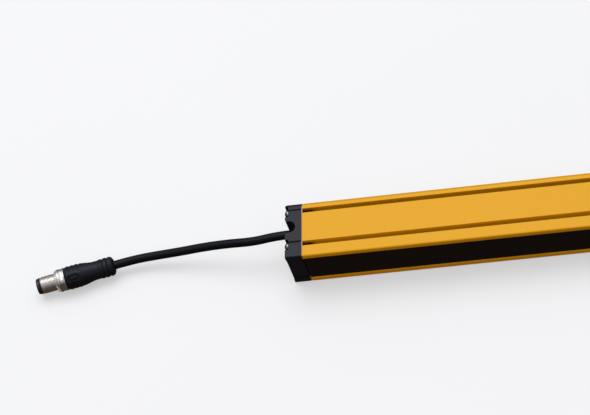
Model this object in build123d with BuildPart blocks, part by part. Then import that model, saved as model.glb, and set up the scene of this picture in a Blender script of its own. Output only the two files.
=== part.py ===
from build123d import *
import os
from math import cos, sin, tan, asin, radians, pi

os.makedirs("parts", exist_ok=True)

# ---------------------------------------------------------------------------
# Safety light curtain bar, lying on one of its two long side flats.
# X runs along the bar (cord end at -X, lamp end at +X), the window faces -Y,
# the rear T-slot faces +Y, Z is up. Millimetres.
# ---------------------------------------------------------------------------

# --- extrusion section ------------------------------------------------------
BAR_W = 35.5            # height as it lies (Z)
ZM = BAR_W / 2
Y_FRONT = -22.5
Y_REAR = 20.9
CORNER_R = 1.0          # front corners
REAR_CH_Y = 3.8         # rear chamfer along Y
REAR_CH_Z = 4.2         # rear chamfer along Z
Y_CH = Y_REAR - REAR_CH_Y
GROOVE_W = 3.2          # screw channel mouth
GROOVE_AX = 3.5         # channel axis below the side flat
Y_GF = -12.6            # front channel axis
Y_GR = 13.05            # rear channel axis
BEVEL_Y = 0.2           # draft on the panel side of the front groove
BEVEL_Z = 2.0
LIP = 4.8               # lip beside the window
WIN_SINK = 0.4          # window face below the lips
WIN_T = 2.0
TAPE_T = 0.4
Y_LEDGE = Y_FRONT + WIN_SINK + WIN_T + TAPE_T     # front face of the ledges
LEDGE_T = 1.8
LEDGE_W = 2.9
T_MOUTH = 9.4           # T-slot mouth
T_LIP = 1.8
T_W = 14.4              # T-slot chamber
T_D = 3.3
CH_Y0 = Y_LEDGE + LEDGE_T                          # chamber front
CH_YA = -8.8            # chamber widens
CH_YB = 9.8             # chamber narrows
CH_Y1 = 14.1            # chamber rear
CH_ZN = 10.7            # half height beside the screw channels
CH_ZW = 15.5            # half height in the middle
RIB_H = 1.6
RIB_T = 1.2

# --- lengths ----------------------------------------------------------------
PROFILE_L = 344.4
XP = PROFILE_L / 2      # extrusion ends
GASKET_T = 0.8
CAP_L = 11.3
XG = XP + GASKET_T      # inner faces of the caps
XC = XG + CAP_L         # outer faces of the caps

# --- cap screws -------------------------------------------------------------
HEAD_D = 5.8
HEAD_H = 3.0
HEAD_OUT = 0.7          # head stands out of the cap's end
POCKET_W = 8.0
POCKET_X = HEAD_H - HEAD_OUT
SHANK_D = 3.0
SCREW_L = 18.2
SCREW_YZ = [(y, z) for y in (Y_GF, Y_GR) for z in (GROOVE_AX, BAR_W - GROOVE_AX)]

# --- cord cap ---------------------------------------------------------------
U_W = 9.2               # cord channel across the cap's end
U_D = 7.1
U_Y = 1.2
U_R = U_W / 2
BAND_D = 0.9            # shallow bands that carry the grooves on
CORD_D = 6.1
EXIT_Z = 25.3           # cord hole, nearer to the upper flat
GLAND_D = 8.4
SPIGOT_L = 5.5

# --- optics -----------------------------------------------------------------
PITCH = 20.0            # beam pitch
BEAMS = 8               # beams in each carrier
CARRIER_L = 159.6
CARRIER_X = 80.0
BORE_R = 8.0
DOME_A = 7.4            # half width of a lens dome
DOME_H = 2.8
DOME_R = (DOME_A ** 2 + DOME_H ** 2) / (2 * DOME_H)

# --- plug and cord ----------------------------------------------------------
PLUG_Z = 8.3            # plug axis above the ground
YAW = radians(11.4)
AX = Vector(-cos(YAW), -sin(YAW), 0)               # from the cord towards the pins
SIDE = Vector(sin(YAW), -cos(YAW), 0)
PLUG_O = Vector(-311.5, 1.5, PLUG_Z)               # rear end of the grip
GRIP_L = 35.0
GRIP_R = 8.25           # widest radius of the grip
NUT_0, NUT_1 = 35.15, 53.2
HEX_1 = 42.4
HEX_R = 8.05            # radius to which the hexagon's corners are turned
THREAD_R = 6.0          # M12x1 thread
NOSE_1 = 56.0
CUP_T = 47.1            # bottom of the insert's cup


def at(t):
    return PLUG_O + AX * t


def plug_plane(t):
    """cross plane of the plug at distance t from the grip's rear end"""
    return Plane(origin=at(t), x_dir=(0, 0, 1), z_dir=AX)


PLUG_SECTION = Plane(origin=PLUG_O, x_dir=AX, z_dir=SIDE)   # local x: along the plug, local y: radius
PLUG_AXIS = Axis(origin=PLUG_O, direction=AX)


def yz(x):
    return Plane(origin=(x, 0, 0), x_dir=(0, 1, 0), z_dir=(1, 0, 0))


def xy(z):
    return Plane(origin=(0, 0, z), x_dir=(1, 0, 0), z_dir=(0, 0, 1))


def xz(y):
    """plane facing +Y: local x = -X, local y = Z"""
    return Plane(origin=(0, y, 0), x_dir=(-1, 0, 0), z_dir=(0, 1, 0))


# outer outline shared by the extrusion and the caps
with BuildSketch(Plane.XY) as outline:
    with BuildLine():
        Polyline(
            (Y_FRONT, 0), (Y_CH, 0), (Y_REAR, REAR_CH_Z), (Y_REAR, BAR_W - REAR_CH_Z),
            (Y_CH, BAR_W), (Y_FRONT, BAR_W), close=True,
        )
    make_face()
    fillet(outline.vertices().group_by(Axis.X)[0], CORNER_R)
    fillet(outline.vertices().filter_by(lambda v: v.X > Y_CH - 0.1), 0.5)

# T-slot section, run on through the caps
with BuildSketch(Plane.XY) as t_slot:
    with Locations((Y_REAR - T_LIP / 2 + 1, ZM)):
        Rectangle(T_LIP + 2, T_MOUTH)
    with Locations((Y_REAR - T_LIP - T_D / 2, ZM)):
        Rectangle(T_D, T_W)

# ---------------------------------------------------------------------------
# extrusion
# ---------------------------------------------------------------------------
with BuildSketch(Plane.XY) as housing_face:
    add(outline.sketch)
    # screw channels with round bottoms, open to the side flats
    for s in (0, 1):
        z_ax = GROOVE_AX if s == 0 else BAR_W - GROOVE_AX
        z_out = -1.0 if s == 0 else BAR_W + 1.0
        for y_ax in (Y_GF, Y_GR):
            with Locations((y_ax, z_ax)):
                Circle(GROOVE_W / 2, mode=Mode.SUBTRACT)
            with Locations((y_ax, (z_ax + z_out) / 2)):
                Rectangle(GROOVE_W, abs(z_out - z_ax), mode=Mode.SUBTRACT)
        z_f = 0.0 if s == 0 else BAR_W
        z_i = BEVEL_Z if s == 0 else BAR_W - BEVEL_Z
        e = Y_GF + GROOVE_W / 2
        Polygon((e - 0.1, z_f), (e + BEVEL_Y, z_f), (e, z_i), (e - 0.1, z_i), align=None, mode=Mode.SUBTRACT)
    # T-slot
    add(t_slot.sketch, mode=Mode.SUBTRACT)
    # window seat and the gap between the ledges
    with Locations(((Y_FRONT - 1 + Y_LEDGE) / 2, ZM)):
        Rectangle(Y_LEDGE - Y_FRONT + 1, BAR_W - 2 * LIP, mode=Mode.SUBTRACT)
    with Locations(((Y_LEDGE + CH_Y0) / 2, ZM)):
        Rectangle(CH_Y0 - Y_LEDGE + 0.2, BAR_W - 2 * LIP - 2 * LEDGE_W, mode=Mode.SUBTRACT)
    # chamber
    with Locations(((CH_Y0 + CH_Y1) / 2, ZM)):
        Rectangle(CH_Y1 - CH_Y0, 2 * CH_ZN, mode=Mode.SUBTRACT)
    with Locations(((CH_YA + CH_YB) / 2, ZM)):
        Rectangle(CH_YB - CH_YA, 2 * CH_ZW, mode=Mode.SUBTRACT)
    # guide ribs for the carrier flanges and the control board
    for y_r in (-6.6 + RIB_T / 2, 6.8 + RIB_T / 2):
        for s in (-1, 1):
            with Locations((y_r, ZM + s * (CH_ZW - RIB_H / 2))):
                Rectangle(RIB_T, RIB_H)

with BuildPart() as housing_profile:
    with BuildSketch(yz(-XP)):
        add(housing_face.sketch)
    extrude(amount=PROFILE_L)
housing_profile.part.label = "housing_profile"
export_step(housing_profile.part, "parts/housing_profile.step")

# ---------------------------------------------------------------------------
# window and the strips that bond it
# ---------------------------------------------------------------------------
WIN_Z0, WIN_Z1 = LIP + 0.1, BAR_W - LIP - 0.1
with BuildPart() as front_window:
    with BuildSketch(yz(-XP)):
        with Locations((Y_FRONT + WIN_SINK + WIN_T / 2, ZM)):
            Rectangle(WIN_T, WIN_Z1 - WIN_Z0)
    extrude(amount=PROFILE_L)
    chamfer(front_window.faces().sort_by(Axis.Y)[0].edges().filter_by(Axis.X), 0.25)
front_window.part.label = "front_window"
export_step(front_window.part, "parts/front_window.step")

TAPE_W = 2.1
for name, z_t in (("window_tape_upper", BAR_W - LIP - 0.2 - TAPE_W / 2), ("window_tape_lower", LIP + 0.2 + TAPE_W / 2)):
    with BuildPart() as tape:
        with BuildSketch(yz(-XP + 0.5)):
            with Locations((Y_LEDGE - TAPE_T / 2, z_t)):
                Rectangle(TAPE_T, TAPE_W)
        extrude(amount=PROFILE_L - 1.0)
    tape.part.label = name
    export_step(tape.part, "parts/" + name + ".step")

# ---------------------------------------------------------------------------
# cord end cap
# ---------------------------------------------------------------------------
with BuildSketch(Plane.XY) as cap_face:
    add(outline.sketch)
    add(t_slot.sketch, mode=Mode.SUBTRACT)
    # shallow recess that carries the window's face on
    with Locations((Y_FRONT, ZM)):
        Rectangle(1.6, BAR_W - 2 * LIP, mode=Mode.SUBTRACT)
    # shallow bands in line with the grooves
    for s in (0, 1):
        zf = -0.5 if s == 0 else BAR_W + 0.5
        zo = 0.0 if s == 0 else BAR_W
        zi = BAND_D if s == 0 else BAR_W - BAND_D
        y0, y1 = Y_GF - GROOVE_W / 2, Y_GF + GROOVE_W / 2
        Polygon((y0, zf), (y1 + 1.6, zf), (y1 + 1.0, zo), (y1, zi), (y0, zi), align=None, mode=Mode.SUBTRACT)
        y0, y1 = Y_GR - GROOVE_W / 2, Y_GR + GROOVE_W / 2
        Polygon((y0, zf), (y1, zf), (y1, zi), (y0, zi), align=None, mode=Mode.SUBTRACT)

with BuildPart() as pigtail_end_cap:
    with BuildSketch(yz(-XC)):
        add(cap_face.sketch)
    extrude(amount=CAP_L)
    # cord channel right across the end face
    with BuildSketch(xy(-1)):
        with Locations((-XC + U_D - U_R, U_Y)):
            Circle(U_R)
        with Locations((-XC + (U_D - U_R) / 2 - 2, U_Y)):
            Rectangle(U_D - U_R + 4, U_W)
    extrude(amount=BAR_W + 2, mode=Mode.SUBTRACT)
    mouth = (pigtail_end_cap.edges().filter_by(Axis.Z)
             .filter_by(lambda e: abs(e.center().X + XC) < 0.01 and abs(abs(e.center().Y - U_Y) - U_R) < 0.01))
    fillet(mouth, 1.4)
    # pockets for the screw heads, open to the side flats
    with BuildSketch(yz(-XC)):
        for y_s, z_s in SCREW_YZ:
            z_o = -2.0 if z_s < ZM else BAR_W + 2.0
            with Locations((y_s, z_s)):
                Circle(POCKET_W / 2)
            with Locations((y_s, (z_s + z_o) / 2)):
                Rectangle(POCKET_W, abs(z_o - z_s))
    extrude(amount=POCKET_X, mode=Mode.SUBTRACT)
    # screw holes
    with BuildSketch(yz(-XC)):
        with Locations(*SCREW_YZ):
            Circle(2.0)
    extrude(amount=CAP_L, mode=Mode.SUBTRACT)
    # spigot that holds the gland, inside the extrusion
    with BuildSketch(yz(-XG)):
        with Locations((U_Y, 18.6)):
            RectangleRounded(10.8, 27.0, 1.5)
    extrude(amount=SPIGOT_L)
    with BuildSketch(yz(-XC)):
        with Locations((U_Y, EXIT_Z)):
            Circle(GLAND_D / 2)
    extrude(amount=CAP_L + SPIGOT_L, mode=Mode.SUBTRACT)
    # weight-saving core in the spigot
    with BuildSketch(yz(-XG - 2.2)):
        with Locations((U_Y, 12.6)):
            RectangleRounded(7.2, 11.6, 1.0)
    extrude(amount=SPIGOT_L + 2.2, mode=Mode.SUBTRACT)
pigtail_end_cap.part.label = "pigtail_end_cap"
export_step(pigtail_end_cap.part, "parts/pigtail_end_cap.step")

# ---------------------------------------------------------------------------
# gaskets
# ---------------------------------------------------------------------------
for name, x0, y_a, y_b, z_a, z_b in (
    ("pigtail_cap_gasket", -XG, CH_YA + 1.0, CH_YB - 1.0, 2.6, BAR_W - 2.6),
    ("lamp_cap_gasket", XP, -11.4, 12.4, 5.1, BAR_W - 5.1),
):
    with BuildPart() as gasket:
        with BuildSketch(yz(x0)):
            add(outline.sketch)
            offset(amount=-0.35, kind=Kind.INTERSECTION, mode=Mode.REPLACE)
            with Locations((Y_FRONT, ZM)):
                Rectangle(6.4, BAR_W - 2 * LIP - 0.6, mode=Mode.SUBTRACT)
            with Locations((Y_REAR - T_LIP - T_D / 2 + 3, ZM)):
                Rectangle(T_D + 6.4, T_W + 0.4, mode=Mode.SUBTRACT)
            with Locations(*SCREW_YZ):
                Circle(1.75, mode=Mode.SUBTRACT)
            with Locations(((y_a + y_b) / 2, (z_a + z_b) / 2)):
                Rectangle(y_b - y_a, z_b - z_a, mode=Mode.SUBTRACT)
        extrude(amount=GASKET_T)
    gasket.part.label = name
    export_step(gasket.part, "parts/" + name + ".step")

# ---------------------------------------------------------------------------
# cap screws: pan head, cross recess, shank in the screw channel
# ---------------------------------------------------------------------------
for name, s in (("pigtail_cap_screws", -1), ("lamp_cap_screws", 1)):
    with BuildPart() as screws:
        for y_s, z_s in SCREW_YZ:
            seat = s * (XC - POCKET_X)
            top = s * (XC + HEAD_OUT)
            pl = Plane(origin=(seat, y_s, z_s), x_dir=(s, 0, 0), z_dir=(0, 1, 0))
            with BuildSketch(pl):
                with BuildLine():
                    l1 = Line((0, 0), (0, HEAD_D / 2))
                    l2 = Line(l1 @ 1, (1.15, HEAD_D / 2))
                    a1 = ThreePointArc(l2 @ 1, (HEAD_H * 0.86, HEAD_D * 0.31), (HEAD_H, 0))
                    Line(a1 @ 1, (0, 0))
                make_face()
            revolve(axis=Axis(origin=(seat, y_s, z_s), direction=(1, 0, 0)), revolution_arc=360)
            with BuildSketch(pl):
                with BuildLine():
                    Polyline((0, 0), (0, SHANK_D / 2), (-SCREW_L + 1.2, SHANK_D / 2), (-SCREW_L, 0.5), (-SCREW_L, 0), close=True)
                make_face()
            revolve(axis=Axis(origin=(seat, y_s, z_s), direction=(1, 0, 0)), revolution_arc=360)
            # cross recess
            with BuildSketch(Plane(origin=(top - s * 1.7, y_s, z_s), x_dir=(0, 1, 0), z_dir=(s, 0, 0))):
                Rectangle(3.1, 0.8, rotation=45)
                Rectangle(0.8, 3.1, rotation=45)
            extrude(amount=3.0, taper=-3, mode=Mode.SUBTRACT)
    screws.part.label = name
    export_step(screws.part, "parts/" + name + ".step")

# ---------------------------------------------------------------------------
# clear lamp cap
# ---------------------------------------------------------------------------
WALL = 1.8
RIB_PITCH = 1.4
RIB_N = 13
with BuildPart() as lamp_end_cap:
    with BuildSketch(yz(XG)):
        add(cap_face.sketch)
    extrude(amount=CAP_L)
    # hollow, open towards the extrusion, with bosses left round the screws
    with BuildSketch(yz(XG)):
        with Locations((0.4, ZM)):
            Rectangle(19.2, BAR_W - 2 * WALL)
        with Locations(((-20.0 + CH_Y1) / 2, ZM)):
            Rectangle(CH_Y1 + 20.0, 2 * CH_ZN)
        with Locations((-18.0, ZM)):
            Rectangle(4.0, BAR_W - 2 * WALL)
    extrude(amount=CAP_L - WALL, mode=Mode.SUBTRACT)
    # light ribs on the insides of the side walls and of the end wall
    for i in range(RIB_N):
        y_i = 0.4 + (i - (RIB_N - 1) / 2) * RIB_PITCH
        with BuildSketch(xz(y_i - 0.25)):
            with BuildLine():
                x0, x1, x2 = XG + 2.0, XC - WALL - 0.6, XC - WALL + 0.05
                z0, z1, z2, z3 = WALL - 0.05, WALL + 0.7, BAR_W - WALL - 0.7, BAR_W - WALL + 0.05
                Polyline((-x0, z0), (-x2, z0), (-x2, z3), (-x0, z3), (-x0, z2), (-x1, z2), (-x1, z1), (-x0, z1), close=True)
            make_face()
        extrude(amount=0.5)
    # framed panel on the front
    with BuildSketch(xz(Y_FRONT + 1.3)):
        with Locations((-(XG + CAP_L / 2), ZM)):
            RectangleRounded(CAP_L - 3.6, 20.0, 0.8)
    extrude(amount=-1.4, mode=Mode.SUBTRACT)
    # pockets for the screw heads
    with BuildSketch(yz(XC - POCKET_X)):
        for y_s, z_s in SCREW_YZ:
            z_o = -2.0 if z_s < ZM else BAR_W + 2.0
            with Locations((y_s, z_s)):
                Circle(POCKET_W / 2)
            with Locations((y_s, (z_s + z_o) / 2)):
                Rectangle(POCKET_W, abs(z_o - z_s))
    extrude(amount=POCKET_X, mode=Mode.SUBTRACT)
    with BuildSketch(yz(XG)):
        with Locations(*SCREW_YZ):
            Circle(2.0)
    extrude(amount=CAP_L, mode=Mode.SUBTRACT)
lamp_end_cap.part.label = "lamp_end_cap"
export_step(lamp_end_cap.part, "parts/lamp_end_cap.step")

# lamp board, its lamps and the white plate round them
LED_YZ = [(y, z) for y in (-5.6, 0.4, 6.4) for z in (ZM - 6.0, ZM + 6.0)]
with BuildPart() as lamp_board:
    with BuildSketch(yz(XP)):
        with Locations((0.5, ZM)):
            RectangleRounded(23.0, BAR_W - 10.8, 0.8)
    extrude(amount=GASKET_T)
lamp_board.part.label = "lamp_board"
export_step(lamp_board.part, "parts/lamp_board.step")

with BuildPart() as lamp_leds:
    with BuildSketch(yz(XG)):
        with Locations(*LED_YZ):
            Rectangle(3.0, 3.4)
    extrude(amount=1.6)
    with BuildSketch(yz(XG + 1.6)):
        with Locations(*LED_YZ):
            Circle(1.1)
    extrude(amount=0.5, taper=20)
lamp_leds.part.label = "lamp_leds"
export_step(lamp_leds.part, "parts/lamp_leds.step")

with BuildPart() as lamp_reflector:
    with BuildSketch(yz(XG)):
        with Locations((0.4, ZM)):
            RectangleRounded(18.0, 20.0, 1.0)
        with Locations(*LED_YZ):
            Rectangle(3.4, 3.8, mode=Mode.SUBTRACT)
    extrude(amount=0.8)
lamp_reflector.part.label = "lamp_reflector"
export_step(lamp_reflector.part, "parts/lamp_reflector.step")

# ---------------------------------------------------------------------------
# optics: carriers, lens strips, boards
# ---------------------------------------------------------------------------
Y_CA0 = CH_Y0 + 0.3     # carrier front
Y_FL0 = CH_YA + 0.1     # flange front
Y_FL1 = -6.9            # carrier back, board front
SCREW_X = (-60.0, -20.0, 20.0, 60.0)
for tag, xc in (("a", -CARRIER_X), ("b", CARRIER_X)):
    beams = [xc + (i - (BEAMS - 1) / 2) * PITCH for i in range(BEAMS)]
    with BuildPart() as carrier:
        with BuildSketch(yz(xc - CARRIER_L / 2)):
            with Locations(((Y_CA0 + Y_FL1) / 2, ZM)):
                Rectangle(Y_FL1 - Y_CA0, 2 * CH_ZN - 0.4)
            with Locations(((Y_FL0 + Y_FL1) / 2, ZM)):
                Rectangle(Y_FL1 - Y_FL0, 2 * CH_ZW - 0.6)
        extrude(amount=CARRIER_L)
        # beam tunnels
        with BuildSketch(xz(Y_CA0)):
            with Locations(*[(-x, ZM) for x in beams]):
                Circle(BORE_R)
        extrude(amount=6.6, mode=Mode.SUBTRACT)
        with BuildSketch(xz(Y_CA0 + 6.6)):
            with Locations(*[(-x, ZM) for x in beams]):
                Circle(2.2)
        extrude(amount=6.0, mode=Mode.SUBTRACT)
        # pockets for the photodiodes
        with BuildSketch(xz(Y_FL1 - 1.6)):
            with Locations(*[(-x, ZM) for x in beams]):
                Rectangle(5.6, 5.6)
        extrude(amount=1.6, mode=Mode.SUBTRACT)
        # board screw holes
        with BuildSketch(xz(Y_FL1 - 3.6)):
            with Locations(*[(-(xc + x), ZM) for x in SCREW_X]):
                Circle(0.95)
        extrude(amount=3.6, mode=Mode.SUBTRACT)
    carrier.part.label = "optics_carrier_" + tag
    export_step(carrier.part, "parts/optics_carrier_" + tag + ".step")

    with BuildPart() as lens_strip:
        with BuildSketch(xz(Y_CA0 - 1.6)):
            with Locations((-xc, ZM)):
                Rectangle(CARRIER_L - 1.0, 19.0)
        extrude(amount=1.6)
        # one dome for each beam, standing into its tunnel
        for x in beams:
            with BuildSketch(Plane(origin=(x, Y_CA0, ZM), x_dir=(1, 0, 0), z_dir=(0, 0, 1))):
                with BuildLine():
                    Polyline((0, DOME_H), (0, -0.6), (DOME_A, -0.6), (DOME_A, 0))
                    ThreePointArc((DOME_A, 0), (4.0, DOME_R * cos(asin(4.0 / DOME_R)) - DOME_R + DOME_H), (0, DOME_H))
                make_face()
            revolve(axis=Axis(origin=(x, Y_CA0, ZM), direction=(0, 1, 0)), revolution_arc=360)
    lens_strip.part.label = "lens_strip_" + tag
    export_step(lens_strip.part, "parts/lens_strip_" + tag + ".step")

    with BuildPart() as optics_board:
        with BuildSketch(xz(Y_FL1)):
            with Locations((-xc, ZM)):
                Rectangle(CARRIER_L - 0.4, 2 * CH_ZN - 1.4)
            with Locations(*[(-(xc + x), ZM) for x in SCREW_X]):
                Circle(1.1, mode=Mode.SUBTRACT)
        extrude(amount=1.6)
    optics_board.part.label = "optics_board_" + tag
    export_step(optics_board.part, "parts/optics_board_" + tag + ".step")

ALL_BEAMS = [s * CARRIER_X + (i - (BEAMS - 1) / 2) * PITCH for s in (-1, 1) for i in range(BEAMS)]
Y_OB = Y_FL1 + 1.6      # back of the optics boards
with BuildPart() as photodiodes:
    with BuildSketch(xz(Y_FL1 - 1.2)):
        with Locations(*[(-x, ZM) for x in ALL_BEAMS]):
            Rectangle(4.6, 4.6)
    extrude(amount=1.2)
photodiodes.part.label = "photodiodes"
export_step(photodiodes.part, "parts/photodiodes.step")

with BuildPart() as receiver_chips:
    with BuildSketch(xz(Y_OB)):
        with Locations(*[(-(s * CARRIER_X + x), ZM - 5.0) for s in (-1, 1) for x in (-70, -30, 10, 50)]):
            Rectangle(5.0, 4.0)
    extrude(amount=1.2)
receiver_chips.part.label = "receiver_chips"
export_step(receiver_chips.part, "parts/receiver_chips.step")

with BuildPart() as optics_board_screws:
    for s in (-1, 1):
        for x in SCREW_X:
            xs = s * CARRIER_X + x
            with BuildSketch(xz(Y_OB)):
                with Locations((-xs, ZM)):
                    Circle(1.9)
            extrude(amount=1.3)
            with BuildSketch(xz(Y_OB - 4.8)):
                with Locations((-xs, ZM)):
                    Circle(0.9)
            extrude(amount=4.8)
optics_board_screws.part.label = "optics_board_screws"
export_step(optics_board_screws.part, "parts/optics_board_screws.step")

with BuildPart() as board_link_header:
    with BuildSketch(xz(Y_OB)):
        with Locations((0, ZM)):
            Rectangle(11.0, 8.0)
    extrude(amount=2.8)
board_link_header.part.label = "board_link_header"
export_step(board_link_header.part, "parts/board_link_header.step")

# ---------------------------------------------------------------------------
# control board in its guide slot, with the parts on it
# ---------------------------------------------------------------------------
Y_CB = 8.1              # front of the control board
CB_X0, CB_X1 = -149.0, -49.0
with BuildPart() as control_board:
    with BuildSketch(xz(Y_CB)):
        with Locations((-(CB_X0 + CB_X1) / 2, ZM)):
            Rectangle(CB_X1 - CB_X0, 2 * CH_ZW - 0.6)
    extrude(amount=1.6)
control_board.part.label = "control_board"
export_step(control_board.part, "parts/control_board.step")

with BuildPart() as board_stack_header:
    with BuildSketch(xz(Y_OB)):
        with Locations((121.0, ZM + 5.0)):
            Rectangle(12.0, 5.0)
    extrude(amount=Y_CB - Y_OB)
board_stack_header.part.label = "board_stack_header"
export_step(board_stack_header.part, "parts/board_stack_header.step")

with BuildPart() as control_chips:
    with BuildSketch(xz(Y_CB - 1.4)):
        with Locations((106.0, ZM - 2.0)):
            Rectangle(10.0, 10.0)
        with Locations((90.0, ZM + 4.0)):
            Rectangle(6.0, 5.0)
        with Locations((90.0, ZM - 6.0)):
            Rectangle(6.0, 5.0)
        with Locations((60.0, ZM + 5.0)):
            Rectangle(7.5, 5.0)
    extrude(amount=1.4)
control_chips.part.label = "control_chips"
export_step(control_chips.part, "parts/control_chips.step")

with BuildPart() as filter_capacitors:
    with BuildSketch(xz(Y_CB - 7.0)):
        with Locations((136.0, ZM - 8.0), (128.0, ZM - 8.0), (74.0, ZM)):
            Circle(3.15)
    extrude(amount=7.0)
filter_capacitors.part.label = "filter_capacitors"
export_step(filter_capacitors.part, "parts/filter_capacitors.step")

LEAD_D = 1.3
LEADS = ("brown", "white", "blue", "black", "grey")
TERM_ZC = 22.0
TERM_Z = [TERM_ZC + 5.0 - 2.5 * i for i in range(5)]
TERM_X = -148.0
TERM_Y = 4.6
with BuildPart() as terminal_header:
    with BuildSketch(xz(Y_CB - 5.6)):
        with Locations((-(TERM_X + 4.0), TERM_ZC)):
            Rectangle(8.0, 14.0)
    extrude(amount=5.6)
terminal_header.part.label = "terminal_header"
export_step(terminal_header.part, "parts/terminal_header.step")

# ---------------------------------------------------------------------------
# gland, cord end, clamp and leads
# ---------------------------------------------------------------------------
X_UB = -XC + U_D        # bottom of the cord channel
X_GO = X_UB - 0.7       # outer face of the gland
X_GI = -XG + SPIGOT_L
X_TAIL = -163.4
with BuildPart() as cable_gland:
    with BuildSketch(yz(X_UB)):
        with Locations((U_Y, EXIT_Z)):
            Circle(GLAND_D / 2 - 0.05)
            Circle(CORD_D / 2 + 0.05, mode=Mode.SUBTRACT)
    extrude(amount=X_GI - X_UB)
    with BuildSketch(yz(X_GO)):
        with Locations((U_Y, EXIT_Z)):
            Circle(4.0)
            Circle(CORD_D / 2 + 0.05, mode=Mode.SUBTRACT)
    extrude(amount=X_UB - X_GO)
cable_gland.part.label = "cable_gland"
export_step(cable_gland.part, "parts/cable_gland.step")

with BuildPart() as cable_tail:
    with BuildSketch(yz(X_GO)):
        with Locations((U_Y, EXIT_Z)):
            Circle(CORD_D / 2)
    extrude(amount=X_TAIL - X_GO)
cable_tail.part.label = "cable_tail"
export_step(cable_tail.part, "parts/cable_tail.step")

with BuildPart() as cable_clamp:
    with BuildSketch(yz(X_GI)):
        with Locations((U_Y, EXIT_Z)):
            Circle(4.3)
            Circle(CORD_D / 2 + 0.05, mode=Mode.SUBTRACT)
    extrude(amount=2.4)
cable_clamp.part.label = "cable_clamp"
export_step(cable_clamp.part, "parts/cable_clamp.step")

START_A = (90.0, 162.0, 18.0, 306.0, 234.0)
for name, a, z_t in zip(LEADS, START_A, TERM_Z):
    p0 = (X_TAIL, U_Y + 1.75 * cos(radians(a)), EXIT_Z + 1.75 * sin(radians(a)))
    p3 = (TERM_X, TERM_Y, z_t)
    p1 = (p0[0] + 3.2, p0[1], p0[2])
    p2 = (p3[0] - 3.2, p3[1], p3[2])
    with BuildPart() as lead:
        with BuildLine() as lead_path:
            FilletPolyline(p0, p1, p2, p3, radius=2.4)
        with BuildSketch(Plane(origin=p0, x_dir=(0, 1, 0), z_dir=(1, 0, 0))):
            Circle(LEAD_D / 2)
        sweep(path=lead_path.wires()[0])
    lead.part.label = "lead_" + name
    export_step(lead.part, "parts/lead_" + name + ".step")

# lamp header on the second optics board, and its two leads
with BuildPart() as lamp_header:
    with BuildSketch(xz(Y_OB)):
        with Locations((-156.4, ZM)):
            Rectangle(4.2, 8.0)
    extrude(amount=4.0)
lamp_header.part.label = "lamp_header"
export_step(lamp_header.part, "parts/lamp_header.step")

with BuildPart() as lamp_leads:
    for z_l in (ZM - 1.6, ZM + 1.6):
        q0 = (158.5, Y_OB + 2.0, z_l)
        q1 = (161.6, Y_OB + 2.0, z_l)
        q2 = (168.8, 0.4, z_l)
        q3 = (XP, 0.4, z_l)
        with BuildLine() as lamp_path:
            FilletPolyline(q0, q1, q2, q3, radius=4.0)
        with BuildSketch(Plane(origin=q0, x_dir=(0, 1, 0), z_dir=(1, 0, 0))):
            Circle(0.6)
        sweep(path=lamp_path.wires()[0])
lamp_leads.part.label = "lamp_leads"
export_step(lamp_leads.part, "parts/lamp_leads.step")

# ---------------------------------------------------------------------------
# round plug: grip, insert, pins, O-ring, coupling nut
# ---------------------------------------------------------------------------
with BuildPart() as connector_grip:
    with BuildSketch(PLUG_SECTION):
        with BuildLine():
            Polyline((0.0, 0.0), (0.0, 4.6))
            ThreePointArc((0.0, 4.6), (0.75, 6.05), (2.2, 6.75))
            Polyline((2.2, 6.75), (3.4, 6.85), (3.9, 6.3), (4.6, 6.3), (5.1, 6.9), (6.8, 6.9), (7.3, 6.35),
                     (8.0, 6.35), (8.5, 6.9), (10.0, 6.85))
            Spline((10.0, 6.85), (12.5, 6.5), (15.5, 6.55), (18.5, 7.05), (22.5, 7.85), (27.0, GRIP_R))
            Polyline((27.0, GRIP_R), (33.6, GRIP_R), (GRIP_L, GRIP_R - 0.6), (GRIP_L, 4.55), (28.0, 4.55), (28.0, 0.0), (0.0, 0.0))
        make_face()
    revolve(axis=PLUG_AXIS, revolution_arc=360)
    # shallow oval thumb mark, high on the side towards the front
    mark_n = (Vector(0, 0, 1) * sin(radians(52)) + SIDE * cos(radians(52)))
    with BuildSketch(Plane(origin=at(29.0) + mark_n * (GRIP_R - 0.25), x_dir=AX, z_dir=mark_n)):
        Ellipse(4.4, 3.1)
    extrude(amount=1.5, mode=Mode.SUBTRACT)
connector_grip.part.label = "connector_grip"
export_step(connector_grip.part, "parts/connector_grip.step")

with BuildPart() as contact_carrier:
    with BuildSketch(PLUG_SECTION):
        with BuildLine():
            Polyline((28.0, 0.0), (28.0, 4.5), (53.6, 4.5), (53.6, 5.2), (54.3, 5.2), (54.3, 5.45), (NOSE_1 - 0.3, 5.45),
                     (NOSE_1, 5.15), (NOSE_1, 4.1), (CUP_T, 4.1), (CUP_T, 0.0), close=True)
        make_face()
    revolve(axis=PLUG_AXIS, revolution_arc=360)
    # coding rib inside the cup
    with BuildSketch(plug_plane(CUP_T)):
        with Locations((3.9, 0)):
            Rectangle(0.9, 1.0)
    extrude(amount=NOSE_1 - CUP_T - 1.0)
    # pin holes
    with BuildSketch(plug_plane(CUP_T - 4.5)):
        with PolarLocations(2.55, 4, start_angle=45):
            Circle(0.55)
        Circle(0.55)
    extrude(amount=5.0, mode=Mode.SUBTRACT)
contact_carrier.part.label = "contact_carrier"
export_step(contact_carrier.part, "parts/contact_carrier.step")

with BuildPart() as contact_pins:
    with BuildSketch(plug_plane(CUP_T - 4.5)):
        with PolarLocations(2.55, 4, start_angle=45):
            Circle(0.5)
        Circle(0.5)
    extrude(amount=12.0)
    fillet(contact_pins.faces().filter_by(lambda f: abs((f.center() - PLUG_O).dot(AX) - CUP_T - 7.5) < 0.01).edges(), 0.35)
contact_pins.part.label = "contact_pins"
export_step(contact_pins.part, "parts/contact_pins.step")

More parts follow.
